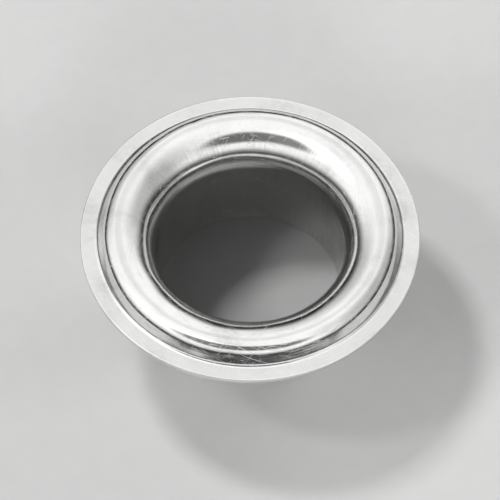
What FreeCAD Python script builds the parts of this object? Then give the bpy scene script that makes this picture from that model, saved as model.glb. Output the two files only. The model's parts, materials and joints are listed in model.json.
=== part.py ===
import FreeCAD, Part
import math
import os

# A one-piece grommet eyelet drawn from thin plated sheet.
# It stands on the cut end of its barrel, which lies in the plane z = 0, and the
# axis of the hole is the Z axis. The flange is at the top. All sizes in mm.
# The section is built from the hole outward, which puts the rim of the flange
# at a diameter of 18 mm.

hole_diameter = 10.0   # bore of the barrel, the nominal size of the eyelet
sheet = 0.3            # thickness of the sheet
grip_height = 5.2      # cut end of the barrel to the underside of the lip
lead_in_height = 1.3   # length over which the barrel narrows to its cut end
lead_in_drop = 0.18    # how far the barrel wall moves inward on that length
bead_rise = 0.95       # crest of the bead above the top of the lip
throat_radius = 2.05   # rounding from the bore up to the crest, on the top side
shoulder_radius = 0.88 # rounding from the crest outward, on the top side
flank_angle = 60.0     # slope of the outer side of the bead against the lip
crease_radius = 0.25   # hollow between the bead and the lip, on the top side
lip_width = 0.75       # flat ring outside the crease
edge_break = 0.06      # narrow bevel that tumbling leaves on the cut edges

# The middle of the sheet carries the section, and both faces lie half a
# thickness from it, so every bend has one centre for both of its faces.
half = sheet / 2
barrel_mid = hole_diameter / 2 + half
throat_mid = throat_radius - half
shoulder_mid = shoulder_radius - half
crease_mid = crease_radius + half
lip_mid_z = grip_height + half
crest_mid_z = lip_mid_z + bead_rise

# The throat is a quarter turn that leads from the barrel up to the crest.
crest = barrel_mid + throat_mid
throat_z = crest_mid_z - throat_mid

# Beyond the crest a rounded shoulder, a straight flank and the crease lead down
# to the lip. Both bends turn by the flank's angle, and the flank makes up the
# part of the rise that they leave.
slope = math.radians(flank_angle)
bends = shoulder_mid + crease_mid
flank_length = (bead_rise - bends * (1 - math.cos(slope))) / math.sin(slope)
lip_start = crest + bends * math.sin(slope) + flank_length * math.cos(slope)
shoulder_z = crest_mid_z - shoulder_mid
crease_z = lip_mid_z + crease_mid
rim = lip_start + lip_width

# The lead-in is an arc that leaves the straight barrel without a corner.
lead_in_bend = (lead_in_height ** 2 + lead_in_drop ** 2) / (2 * lead_in_drop)
lead_in_centre = barrel_mid - lead_in_bend


def point(radius, height):
    """A point of the section, given by its distance from the axis and its height."""
    return FreeCAD.Vector(radius, 0, height)


def bend_edge(radius, height, bend, start, end):
    """An arc of the section round one centre, with angles from outward to upward."""
    places = []
    for angle in (start, (start + end) / 2, end):
        across = radius + bend * math.cos(angle)
        up = height + bend * math.sin(angle)
        places.append(point(across, up))
    return Part.Arc(*places).toShape()


def skin(side):
    """The edges of one face of the sheet, from the cut end of the barrel to the rim.

    side is +1 for the bore and the top of the flange, -1 for the outside of the
    barrel and the underside of the flange.
    """
    offset = side * half
    quarter = math.pi / 2
    wall = barrel_mid - offset
    lead = lead_in_bend - offset
    lead_angle = math.asin(lead_in_height / lead)
    lip_z = lip_mid_z + offset
    shoulder = bend_edge(crest, shoulder_z, shoulder_mid + offset, quarter, quarter - slope)
    crease = bend_edge(lip_start, crease_z, crease_mid - offset, -quarter - slope, -quarter)
    return [
        bend_edge(lead_in_centre, lead_in_height, lead, -lead_angle, 0),
        Part.makeLine(point(wall, lead_in_height), point(wall, throat_z)),
        bend_edge(crest, throat_z, throat_mid + offset, math.pi, quarter),
        shoulder,
        Part.makeLine(shoulder.Vertexes[-1].Point, crease.Vertexes[0].Point),
        crease,
        Part.makeLine(point(lip_start, lip_z), point(rim, lip_z)),
    ]


def circle_edge(solid, radius, height):
    """The round edge of the solid with this radius at this height."""
    for edge in solid.Edges:
        curve = edge.Curve
        if curve.TypeId != "Part::GeomCircle":
            continue
        same_radius = abs(curve.Radius - radius) < 1e-6
        same_height = abs(curve.Center.z - height) < 1e-6
        if same_radius and same_height:
            return edge
    raise ValueError("no round edge of radius %.3f at height %.3f" % (radius, height))


top = skin(1)
under = skin(-1)
end_inside = top[0].Vertexes[0].Point
end_outside = under[0].Vertexes[0].Point
end_face = Part.makeLine(end_inside, end_outside)
rim_face = Part.makeLine(point(rim, grip_height), point(rim, grip_height + sheet))

outline = Part.Wire(Part.sortEdges(top + under + [end_face, rim_face])[0])
section = Part.Face(outline)
eyelet = section.revolve(FreeCAD.Vector(0, 0, 0), FreeCAD.Vector(0, 0, 1), 360)

cut_edges = [
    circle_edge(eyelet, rim, grip_height),
    circle_edge(eyelet, rim, grip_height + sheet),
    circle_edge(eyelet, end_inside.x, 0),
    circle_edge(eyelet, end_outside.x, 0),
]
eyelet = eyelet.makeChamfer(edge_break, cut_edges)

os.makedirs("parts", exist_ok=True)
eyelet.exportStep("parts/eyelet.step")
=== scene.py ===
import json
import math
import bpy
import numpy as np
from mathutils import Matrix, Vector


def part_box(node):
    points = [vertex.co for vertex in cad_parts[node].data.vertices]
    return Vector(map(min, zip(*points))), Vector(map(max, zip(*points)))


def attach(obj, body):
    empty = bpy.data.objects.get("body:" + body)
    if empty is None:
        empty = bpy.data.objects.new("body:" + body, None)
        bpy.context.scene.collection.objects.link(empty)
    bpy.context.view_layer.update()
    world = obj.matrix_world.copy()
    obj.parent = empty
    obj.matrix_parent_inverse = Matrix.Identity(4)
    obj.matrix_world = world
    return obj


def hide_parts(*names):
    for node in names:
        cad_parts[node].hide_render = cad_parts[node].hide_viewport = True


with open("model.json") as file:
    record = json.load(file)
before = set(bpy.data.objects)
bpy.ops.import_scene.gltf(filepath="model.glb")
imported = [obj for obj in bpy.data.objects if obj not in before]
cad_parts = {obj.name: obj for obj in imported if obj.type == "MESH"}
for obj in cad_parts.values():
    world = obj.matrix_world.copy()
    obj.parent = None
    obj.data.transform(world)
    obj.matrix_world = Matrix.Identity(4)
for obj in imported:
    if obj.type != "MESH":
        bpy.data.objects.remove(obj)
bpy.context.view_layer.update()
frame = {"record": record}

print("frame loaded")

# The sizes that seat the eyelet come from the frame, in metres.
mounts = {mount["name"]: mount for mount in frame["record"]["mounts"]}
boreRadius = mounts["hole"]["dims"]["r_mm"] / 1000
barrelRadius = mounts["barrel"]["dims"]["r_mm"] / 1000
lipUnderZ = mounts["lip_underside"]["pos_m"][2]
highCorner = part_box("eyelet")[1]
rimRadius = highCorner[0]
crestTopZ = highCorner[2]

eyeletLook = {
    "throatRadius": 0.00205,     # bore up to the crest, on the top face of the sheet
    "shoulderRadius": 0.00088,   # crest outward, on the top face
    "flankAngle": 60.0,          # slope of the bead's outer side, in degrees
    "creaseRadius": 0.00025,     # hollow between bead and lip, on the top face
    "leadInHeight": 0.0013,      # stretch where the barrel narrows
    "leadInDrop": 0.00018,       # how far it narrows there
    "rimRound": 0.00009,         # rounded cut edges of the lip
    "endRound": 0.00007,         # rounded cut edges of the barrel
    "around": 400,               # grid steps round the axis
    "bendTurn": 0.045,           # most that the section turns in one grid step, in radians
    "leadInTurn": 0.03,          # the same in the wide bend of the lead-in
    "longStep": 0.0003,          # longest grid step along the section, half as long on the flange
    "ripple": 0.000005,          # how far the drawn skin is out of true
    "waves": range(2, 12),       # how many waves each part of the ripple has round the eyelet
    "waveLean": 500,             # how far one wave turns along the sheet, in radians per metre
    "waveFade": 0.7,             # power of the number of waves by which the depth falls
    "trueEnd": 0.0006,           # the ripple dies out on this height above the cut end
    "dings": 26,                 # shallow knocks from handling, most on the proud parts
    "dingDepth": 0.000011,
    "dingWidth": 0.00030,
    "depthSpread": (0.4, 1.3),   # least and most of the depth and the width, as shares
    "widthSpread": (0.5, 1.6),
    "strayDings": 0.08,          # chance of a knock anywhere, against 1 more on the proud parts
    "proudReach": 0.0011,        # how far the wear reaches from the crest and from the rim
    "patterns": {"drawn": 0.0, "rubOne": 0.11, "rubTwo": -0.34},   # lean in radians per mm
    "seed": 11,
}


def bendPoints(centre, radius, start, end, turn):
    # a point lies at the radius from the centre, and its direction goes evenly from start to end
    count = max(4, int(abs(end - start) / turn) + 2)
    t = np.linspace(start, end, count)
    return np.stack([centre[0] + radius * np.cos(t), centre[1] + radius * np.sin(t)], axis=1)


def runPoints(first, last, step):
    # a point moves evenly from first to last
    first = np.array(first)
    last = np.array(last)
    count = max(2, int(np.linalg.norm(last - first) / step) + 2)
    t = np.linspace(0, 1, count)[:, None]
    return first + t * (last - first)


def cornerPoints(first, corner, last, count=7):
    # a curve that leaves first towards the corner and reaches last from it, as the sum of the
    # three points, weighted by what is left of t squared, twice the product of both, t squared
    first, corner, last = np.array(first), np.array(corner), np.array(last)
    t = np.linspace(0, 1, count)[:, None]
    return (1 - t) ** 2 * first + 2 * t * (1 - t) * corner + t ** 2 * last


def joined(parts):
    # the parts end to end, each shared point once
    return np.concatenate([parts[0]] + [part[1:] for part in parts[1:]])


def endCorner(skin, outward):
    # the skin's first run goes on straight to the plane z = 0, and turns there along the cut face
    along = (skin[0] - skin[1]) / np.linalg.norm(skin[0] - skin[1])
    corner = skin[0] + along * (skin[0][1] / -along[1])
    reach = np.linalg.norm(corner - skin[0])
    return corner, corner + np.array([outward * reach, 0.0])


def sheetSection(look):
    # The closed outline of the bent sheet as radius and height, with the metal on its right:
    # up the bore, over the bead, out along the lip, round the rim and back underneath.
    # Each bend has one centre, and its faces lie half a sheet inside and outside its middle.
    sheet = barrelRadius - boreRadius
    half = sheet / 2
    slope = math.radians(look["flankAngle"])
    quarter = math.pi / 2
    barrelMid = boreRadius + half
    throatMid = look["throatRadius"] - half
    shoulderMid = look["shoulderRadius"] - half
    creaseMid = look["creaseRadius"] + half
    crest = barrelMid + throatMid
    crestMidZ = crestTopZ - half
    rise = crestMidZ - (lipUnderZ + half)
    bends = shoulderMid + creaseMid
    flankLength = (rise - bends * (1 - math.cos(slope))) / math.sin(slope)
    lipStart = crest + bends * math.sin(slope) + flankLength * math.cos(slope)
    leadBend = (look["leadInHeight"] ** 2 + look["leadInDrop"] ** 2) / (2 * look["leadInDrop"])
    turn = look["bendTurn"]
    step = look["longStep"]

    def face(side):
        # one face of the sheet from the cut end to the lip: side 1 is the top, -1 the underside
        offset = side * half
        wall = barrelMid - offset
        lead = leadBend - offset
        leadStart = -math.asin((look["leadInHeight"] - look["endRound"]) / lead)
        lipZ = lipUnderZ + half + offset
        shoulder = bendPoints(
            (crest, crestMidZ - shoulderMid), shoulderMid + offset,
            quarter, quarter - slope, turn)
        crease = bendPoints(
            (lipStart, lipUnderZ + half + creaseMid), creaseMid - offset,
            -quarter - slope, -quarter, turn)
        return joined([
            bendPoints(
                (barrelMid - leadBend, look["leadInHeight"]), lead,
                leadStart, 0, look["leadInTurn"]),
            runPoints((wall, look["leadInHeight"]), (wall, crestMidZ - throatMid), step),
            bendPoints((crest, crestMidZ - throatMid), throatMid + offset, math.pi, quarter, turn),
            shoulder,
            runPoints(shoulder[-1], crease[0], step / 2),
            crease,
            runPoints((lipStart, lipZ), (rimRadius - look["rimRound"], lipZ), step / 2),
        ])

    top = face(1)
    under = face(-1)[::-1]
    rimBelowTop = (rimRadius, lipUnderZ + sheet - look["rimRound"])
    rimAboveUnder = (rimRadius, lipUnderZ + look["rimRound"])
    rim = joined([
        cornerPoints(top[-1], (rimRadius, lipUnderZ + sheet), rimBelowTop),
        runPoints(rimBelowTop, rimAboveUnder, step),
        cornerPoints(rimAboveUnder, (rimRadius, lipUnderZ), under[0]),
    ])
    insideCorner, insideFlat = endCorner(top, 1)
    outsideCorner, outsideFlat = endCorner(under[::-1], -1)
    end = joined([
        cornerPoints(under[-1], outsideCorner, outsideFlat),
        runPoints(outsideFlat, insideFlat, step),
        cornerPoints(insideFlat, insideCorner, top[0]),
    ])
    proudPlaces = np.array([(crest, crestTopZ), (rimRadius, lipUnderZ + half)])
    return np.concatenate([top, rim[1:], under[1:], end[1:-1]]), proudPlaces


def buildEyelet(look):
    # The section turned about Z: across by the cosine and sine of the turn times the radius,
    # up by the height, after both have moved along the section's normal by the depth of
    # the ripple and the dings.
    section, proudPlaces = sheetSection(look)
    ahead = np.roll(section, -1, axis=0)
    behind = np.roll(section, 1, axis=0)
    tangent = ahead - behind
    tangent /= np.linalg.norm(tangent, axis=1)[:, None]
    inward = np.stack([tangent[:, 1], -tangent[:, 0]], axis=1)    # into the metal
    run = np.concatenate([[0.0], np.cumsum(np.linalg.norm(ahead - section, axis=1))[:-1]])

    # proud falls smoothly from 1 at the crest and at the rim to 0 beyond the wear's reach
    gaps = np.linalg.norm(section[:, None, :] - proudPlaces[None, :, :], axis=2).min(axis=1)
    proud = np.exp(-(gaps / look["proudReach"]) ** 2)

    around = look["around"]
    angle = np.arange(around) * (2 * math.pi / around)
    draw = np.random.default_rng(look["seed"])
    depth = np.zeros((around, len(section)))
    for wave in look["waves"]:                                    # slow waves round and along
        swing = draw.uniform(0, 2 * math.pi)
        phase = wave * angle[:, None] + look["waveLean"] * wave * run[None, :] + swing
        depth += look["ripple"] / wave ** look["waveFade"] * (1 + np.sin(phase))
    chance = proud + look["strayDings"]
    chance /= chance.sum()
    for knock in range(look["dings"]):                            # round hollows, deepest inside
        place = draw.choice(len(section), p=chance)
        turn = draw.uniform(0, 2 * math.pi)
        width = look["dingWidth"] * draw.uniform(*look["widthSpread"])
        gap = np.abs(angle - turn)
        arc = np.minimum(gap, 2 * math.pi - gap)[:, None] * section[place, 0]
        reach = np.linalg.norm(section - section[place], axis=1)[None, :]
        bowl = np.exp(-(arc ** 2 + reach ** 2) / width ** 2)
        depth += look["dingDepth"] * draw.uniform(*look["depthSpread"]) * bowl
    depth *= np.clip(section[None, :, 1] / look["trueEnd"], 0, 1)   # the cut end stays true

    radius = section[None, :, 0] + depth * inward[None, :, 0]
    height = section[None, :, 1] + depth * inward[None, :, 1]
    x = radius * np.cos(angle)[:, None]
    y = radius * np.sin(angle)[:, None]
    points = np.stack([x, y, height], axis=2).reshape(-1, 3)

    steps = len(section)
    row = np.arange(around)[:, None] * steps
    nextRow = np.roll(np.arange(around), -1)[:, None] * steps
    column = np.arange(steps)[None, :]
    nextColumn = np.roll(np.arange(steps), -1)[None, :]
    faces = np.stack(
        [row + column, row + nextColumn, nextRow + nextColumn, nextRow + column], axis=2)

    mesh = bpy.data.meshes.new("eyeletSheet")
    mesh.from_pydata(points, [], faces.reshape(-1, 4))
    mesh.polygons.foreach_set("use_smooth", np.ones(len(mesh.polygons), dtype=bool))
    # Each pattern's own coordinates: two for the turn, so that they close, and one along the
    # sheet in mm. Where the turn leans with that length, the pattern's lines run aslant.
    for name, lean in look["patterns"].items():
        turned = angle[:, None] + lean * 1000 * run[None, :]
        along = np.broadcast_to(1000 * run, turned.shape)
        spots = np.stack([np.cos(turned), np.sin(turned), along], axis=2)
        layer = mesh.attributes.new(name, "FLOAT_VECTOR", "POINT")
        layer.data.foreach_set("vector", spots.ravel())
    layer = mesh.attributes.new("proud", "FLOAT", "POINT")
    layer.data.foreach_set("value", np.broadcast_to(proud, (around, steps)).ravel())
    mesh.update()
    piece = bpy.data.objects.new("eyeletSheet", mesh)
    bpy.context.scene.collection.objects.link(piece)
    print("eyelet sheet:", steps, "by", around, "points,", 2 * steps * around, "triangles")
    return piece


def mathNode(tree, operation, first, second):
    # one sum or product of two sockets or numbers
    node = tree.nodes.new("ShaderNodeMath")
    node.operation = operation
    for socket, value in zip(node.inputs, (first, second)):
        if isinstance(value, (int, float)):
            socket.default_value = value
        else:
            tree.links.new(value, socket)
    return node.outputs[0]


def mapRange(tree, value, low, high, first, last):
    # a soft step: first up to low, last from high on, and a smooth rise between
    node = tree.nodes.new("ShaderNodeMapRange")
    node.interpolation_type = "SMOOTHSTEP"
    numbers = {"From Min": low, "From Max": high, "To Min": first, "To Max": last}
    for name, number in numbers.items():
        node.inputs[name].default_value = number
    tree.links.new(value, node.inputs["Value"])
    return node.outputs["Result"]


def grain(tree, place, scale, detail=2.0, roughness=0.5):
    # cloudy noise from 0 to 1, with its features one over the scale wide each way
    stretch = tree.nodes.new("ShaderNodeMapping")
    stretch.inputs["Scale"].default_value = scale
    tree.links.new(place, stretch.inputs["Vector"])
    noise = tree.nodes.new("ShaderNodeTexNoise")
    noise.inputs["Scale"].default_value = 1.0
    noise.inputs["Detail"].default_value = detail
    noise.inputs["Roughness"].default_value = roughness
    tree.links.new(stretch.outputs["Vector"], noise.inputs["Vector"])
    return noise.outputs["Fac"]


def bump(tree, height, distance, under=None):
    # the surface normal tilted by a height, on top of the normal from the bump under it
    node = tree.nodes.new("ShaderNodeBump")
    node.inputs["Distance"].default_value = distance
    node.inputs["Strength"].default_value = 1.0
    tree.links.new(height, node.inputs["Height"])
    if under is not None:
        tree.links.new(under, node.inputs["Normal"])
    return node.outputs["Normal"]


def colourRamp(tree, value, stops):
    # a colour for each value from 0 to 1, blended between the stops
    node = tree.nodes.new("ShaderNodeValToRGB")
    ends = node.color_ramp.elements
    ends[0].position, ends[0].color = stops[0]
    ends[1].position, ends[1].color = stops[-1]
    for position, colour in stops[1:-1]:
        ends.new(position).color = colour
    tree.links.new(value, node.inputs["Fac"])
    return node.outputs["Color"]


plateLook = {
    # the film's noise at each colour: film in the hollows, plate, and fresh plate
    "tints": (
        (0.26, (0.65, 0.648, 0.637, 1)),
        (0.42, (0.795, 0.794, 0.785, 1)),
        (0.66, (0.855, 0.855, 0.847, 1)),
    ),
    "filmHeld": 0.34,              # how much more film the hollows and the lines hold
    "lineBare": 0.30,              # the lines' noise where they hold no more than the rest
    "polish": 0.05,                # roughness of the bright skin
    "filmRough": 0.07,             # what the film adds to it
    "lineRough": 0.08,             # what the tool's lines add
    "markRough": 0.30,             # what a rubbing mark adds
    "markMore": 0.035,             # how much the noise of the marks rises on the proud parts
    "markEdge": (0.69, 0.75),      # noise where a mark begins and where it is full
    "pitEdge": (0.745, 0.79),      # the same for a pit
    "peelDepth": 0.0000030,        # slow unevenness of the drawn skin, in metres
    "toolDepth": 0.0000035,        # lines of the drawing tool along the sheet
    "roundDepth": 0.0000012,       # lines round the sheet
    "markDepth": 0.0000018,
    "pitDepth": 0.0000040,
    # features per metre each way, for the noises in space
    "filmGrain": (340, 340, 340),
    "peelGrain": (1300, 1300, 1300),
    "pitGrain": (5200, 5200, 5200),
    # features per radian round the eyelet, given twice, and per mm along the sheet
    "toolGrain": (60, 60, 0.35),
    "roundGrain": (1.3, 1.3, 13),
    "markGrains": {"rubOne": (170, 170, 0.9), "rubTwo": (140, 140, 0.8), "drawn": (6, 6, 19)},
}


def nickelPlate(look):
    material = bpy.data.materials.new("brightNickel")
    material.use_nodes = True
    tree = material.node_tree
    shader = tree.nodes["Principled BSDF"]
    shader.inputs["Metallic"].default_value = 1.0
    place = tree.nodes.new("ShaderNodeTexCoord").outputs["Object"]

    def attribute(name, output):
        node = tree.nodes.new("ShaderNodeAttribute")
        node.attribute_name = name
        return node.outputs[output]

    drawn = attribute("drawn", "Vector")
    proud = attribute("proud", "Fac")

    # lines that the drawing tool leaves along the sheet, away from the crest and the rim
    hollow = mathNode(tree, "SUBTRACT", 1.0, proud)
    toolLines = grain(tree, drawn, look["toolGrain"], roughness=0.6)
    lines = mathNode(tree, "MULTIPLY", toolLines, hollow)

    # a thin uneven film, thicker in the hollows and in the lines than on the crest and the rim
    film = grain(tree, place, look["filmGrain"], detail=5.0, roughness=0.6)
    held = mathNode(tree, "SUBTRACT", toolLines, look["lineBare"])
    held = mathNode(tree, "MULTIPLY", held, hollow)
    dulled = mathNode(tree, "SUBTRACT", film, mathNode(tree, "MULTIPLY", held, look["filmHeld"]))
    tree.links.new(colourRamp(tree, dulled, look["tints"]), shader.inputs["Base Color"])

    # rubbing marks: fine strokes in three directions along the sheet, more where it is proud
    worn = mathNode(tree, "MULTIPLY", proud, look["markMore"])
    marks = None
    for name, scale in look["markGrains"].items():
        stroke = mathNode(tree, "ADD", grain(tree, attribute(name, "Vector"), scale), worn)
        stroke = mapRange(tree, stroke, *look["markEdge"], 0.0, 1.0)
        marks = stroke if marks is None else mathNode(tree, "MAXIMUM", marks, stroke)
    pits = grain(tree, place, look["pitGrain"], detail=1.0)
    pits = mapRange(tree, pits, *look["pitEdge"], 0.0, 1.0)

    rough = mathNode(tree, "MULTIPLY", film, look["filmRough"])
    rough = mathNode(tree, "ADD", rough, look["polish"])
    rough = mathNode(tree, "ADD", rough, mathNode(tree, "MULTIPLY", lines, look["lineRough"]))
    rough = mathNode(tree, "ADD", rough, mathNode(tree, "MULTIPLY", marks, look["markRough"]))
    tree.links.new(rough, shader.inputs["Roughness"])

    # the skin itself: slow unevenness, the tool's lines, lines round the sheet, marks and pits
    peel = grain(tree, place, look["peelGrain"], roughness=0.45)
    rounds = grain(tree, drawn, look["roundGrain"], detail=3.0, roughness=0.6)
    normal = bump(tree, peel, look["peelDepth"])
    normal = bump(tree, lines, look["toolDepth"], normal)
    normal = bump(tree, rounds, look["roundDepth"], normal)
    normal = bump(tree, mathNode(tree, "MULTIPLY", marks, -1.0), look["markDepth"], normal)
    normal = bump(tree, mathNode(tree, "MULTIPLY", pits, -1.0), look["pitDepth"], normal)
    tree.links.new(normal, shader.inputs["Normal"])
    return material


sheetPiece = buildEyelet(eyeletLook)
sheetPiece.data.materials.append(nickelPlate(plateLook))
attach(sheetPiece, "root")
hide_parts("eyelet")
print("plate on")

floorLook = {
    "halfWidth": 0.6,       # metres
    "roughness": 0.6,
    # a faint speckle: its noise at each colour, and its features per metre each way
    "tints": ((0.35, (0.755, 0.755, 0.75, 1)), (0.65, (0.77, 0.77, 0.765, 1))),
    "speckGrain": (900, 900, 900),
}


def buildFloor(look):
    # one flat square at z = 0
    half = look["halfWidth"]
    corners = np.array([(-half, -half, 0), (half, -half, 0), (half, half, 0), (-half, half, 0)])
    mesh = bpy.data.meshes.new("floor")
    mesh.from_pydata(corners, [], [(0, 1, 2, 3)])
    floor = bpy.data.objects.new("floor", mesh)
    bpy.context.scene.collection.objects.link(floor)
    material = bpy.data.materials.new("paleBoard")
    material.use_nodes = True
    tree = material.node_tree
    shader = tree.nodes["Principled BSDF"]
    shader.inputs["Roughness"].default_value = look["roughness"]
    place = tree.nodes.new("ShaderNodeTexCoord").outputs["Object"]
    speck = grain(tree, place, look["speckGrain"], detail=3.0)
    tree.links.new(colourRamp(tree, speck, look["tints"]), shader.inputs["Base Color"])
    floor.data.materials.append(material)
    return floor


floor = buildFloor(floorLook)


def sideVector(turn, rise):
    # the direction that lies turn degrees round from the camera's side, which is -Y, and
    # rise degrees up
    side = math.radians(turn - 90)
    rise = math.radians(rise)
    flat = math.cos(rise)
    return Vector((math.cos(side) * flat, math.sin(side) * flat, math.sin(rise)))


cameraLook = {
    "elevation": 57.0,      # degrees above the floor
    "distance": 0.42,       # from the point it aims at, in metres
    "aim": (0.0, 0.0, 0.0042),
    "fieldWidth": 0.0265,   # what the picture spans at that point
    "sensorWidth": 36.0,    # mm
}


def buildCamera(look):
    data = bpy.data.cameras.new("camera")
    data.sensor_width = look["sensorWidth"]
    data.lens = look["sensorWidth"] * look["distance"] / look["fieldWidth"]
    data.clip_start = 0.01
    camera = bpy.data.objects.new("camera", data)
    bpy.context.scene.collection.objects.link(camera)
    toward = sideVector(0, look["elevation"])
    camera.location = Vector(look["aim"]) + toward * look["distance"]
    camera.rotation_euler = toward.to_track_quat("Z", "Y").to_euler()
    bpy.context.scene.camera = camera


buildCamera(cameraLook)

lampLook = {
    "distance": 1.0,        # metres
    # turn from the camera's side and elevation in degrees, width in metres and watts; the
    # first two shine into the hole, the others stand low and leave the barrel in shade
    "boxes": (
        (-138, 47, 0.18, 3.8), (-92, 43, 0.16, 1.5), (-62, 21, 0.36, 2.7),
        (8, 21, 0.36, 2.9), (76, 21, 0.36, 2.9), (140, 21, 0.36, 2.8)),
}


def buildLamps(look):
    # square soft boxes in a ring, all facing the eyelet
    for turn, rise, width, watts in look["boxes"]:
        data = bpy.data.lights.new("softBox", "AREA")
        data.shape = "SQUARE"
        data.size = width
        data.energy = watts
        lamp = bpy.data.objects.new("softBox", data)
        bpy.context.scene.collection.objects.link(lamp)
        toward = sideVector(turn, rise)
        lamp.location = toward * look["distance"]
        lamp.rotation_euler = toward.to_track_quat("Z", "Y").to_euler()
        lamp.visible_glossy = False     # the metal shows the tent instead


buildLamps(lampLook)

tentLook = {
    "bright": 1.15,         # light of the wall and the roof, as the metal mirrors it
    "dark": 0.07,           # and at the horizon
    "fill": 0.03,           # what the tent gives to the floor
    "horizonLow": 0.13,     # sine of the elevation where the tent's wall begins
    "horizonHigh": 0.50,    # and where it is fully bright
    # Soft places in the wall that differ: turn and elevation in degrees, reach as a share of
    # the tent's radius, how much wider than high, softness of the edge, and share of light.
    "patches": {
        "nearPanel": (-8, 58, 0.27, 2.4, 0.16, 0.16),
        "rightPanel": (100, 34, 0.52, 1.0, 0.60, 0.50),
        "leftPanel": (-152, 20, 0.40, 1.0, 0.45, 0.55),
        "brightPanel": (-62, 58, 0.34, 1.3, 0.22, 1.45),
        "farPanel": (180, 59, 0.13, 1.8, 0.16, 0.82),
        "farWall": (180, 4, 0.26, 2.6, 0.24, 0.45),
    },
}


def wallPatch(tree, direction, turn, rise, reach, wide, soft, level):
    # the share of light that a patch leaves: level within its reach and 1 outside, by the
    # distance from its middle, in which the sideways part counts only one over wide
    middle = sideVector(turn, rise)
    away = tree.nodes.new("ShaderNodeVectorMath")
    away.operation = "SUBTRACT"
    away.inputs[1].default_value = middle
    tree.links.new(direction, away.inputs[0])
    sideways = tree.nodes.new("ShaderNodeVectorMath")
    sideways.operation = "DOT_PRODUCT"
    sideways.inputs[1].default_value = Vector((-middle.y, middle.x, 0)).normalized()
    tree.links.new(away.outputs["Vector"], sideways.inputs[0])
    length = tree.nodes.new("ShaderNodeVectorMath")
    length.operation = "LENGTH"
    tree.links.new(away.outputs["Vector"], length.inputs[0])
    whole = mathNode(tree, "MULTIPLY", length.outputs["Value"], length.outputs["Value"])
    part = mathNode(tree, "MULTIPLY", sideways.outputs["Value"], sideways.outputs["Value"])
    part = mathNode(tree, "MULTIPLY", part, 1 - 1 / wide ** 2)
    left = mathNode(tree, "SQRT", mathNode(tree, "SUBTRACT", whole, part), 0.0)
    return mapRange(tree, left, reach - soft / 2, reach + soft / 2, level, 1.0)


def buildTent(look):
    # A white tent round the floor: its wall rises from dark at the horizon to bright above,
    # and each patch takes its share. The metal mirrors the tent, the floor gets the fill,
    # and the camera sees plain white past the floor.
    world = bpy.data.worlds.new("tent")
    bpy.context.scene.world = world
    world.use_nodes = True
    tree = world.node_tree
    tree.nodes.clear()
    link = tree.links.new
    direction = tree.nodes.new("ShaderNodeTexCoord").outputs["Generated"]
    split = tree.nodes.new("ShaderNodeSeparateXYZ")
    link(direction, split.inputs[0])
    strength = mapRange(
        tree, split.outputs["Z"], look["horizonLow"], look["horizonHigh"],
        look["dark"], look["bright"])
    for patch in look["patches"].values():
        strength = mathNode(tree, "MULTIPLY", strength, wallPatch(tree, direction, *patch))

    tent = tree.nodes.new("ShaderNodeBackground")
    link(strength, tent.inputs["Strength"])
    fill = tree.nodes.new("ShaderNodeBackground")
    fill.inputs["Strength"].default_value = look["fill"]
    plain = tree.nodes.new("ShaderNodeBackground")
    for light in (tent, fill, plain):
        light.inputs["Color"].default_value = (1, 1, 1, 1)
    path = tree.nodes.new("ShaderNodeLightPath")
    # mirrored is 1 while a ray has met only metal, and 0 after its first matt surface
    mirrored = mathNode(tree, "LESS_THAN", path.outputs["Diffuse Depth"], 0.5)
    lit = tree.nodes.new("ShaderNodeMixShader")
    link(mirrored, lit.inputs[0])
    link(fill.outputs[0], lit.inputs[1])
    link(tent.outputs[0], lit.inputs[2])
    seen = tree.nodes.new("ShaderNodeMixShader")
    link(path.outputs["Is Camera Ray"], seen.inputs[0])
    link(lit.outputs[0], seen.inputs[1])
    link(plain.outputs[0], seen.inputs[2])
    out = tree.nodes.new("ShaderNodeOutputWorld")
    link(seen.outputs[0], out.inputs["Surface"])


buildTent(tentLook)
bpy.context.scene.view_settings.view_transform = "Standard"
print("studio ready")
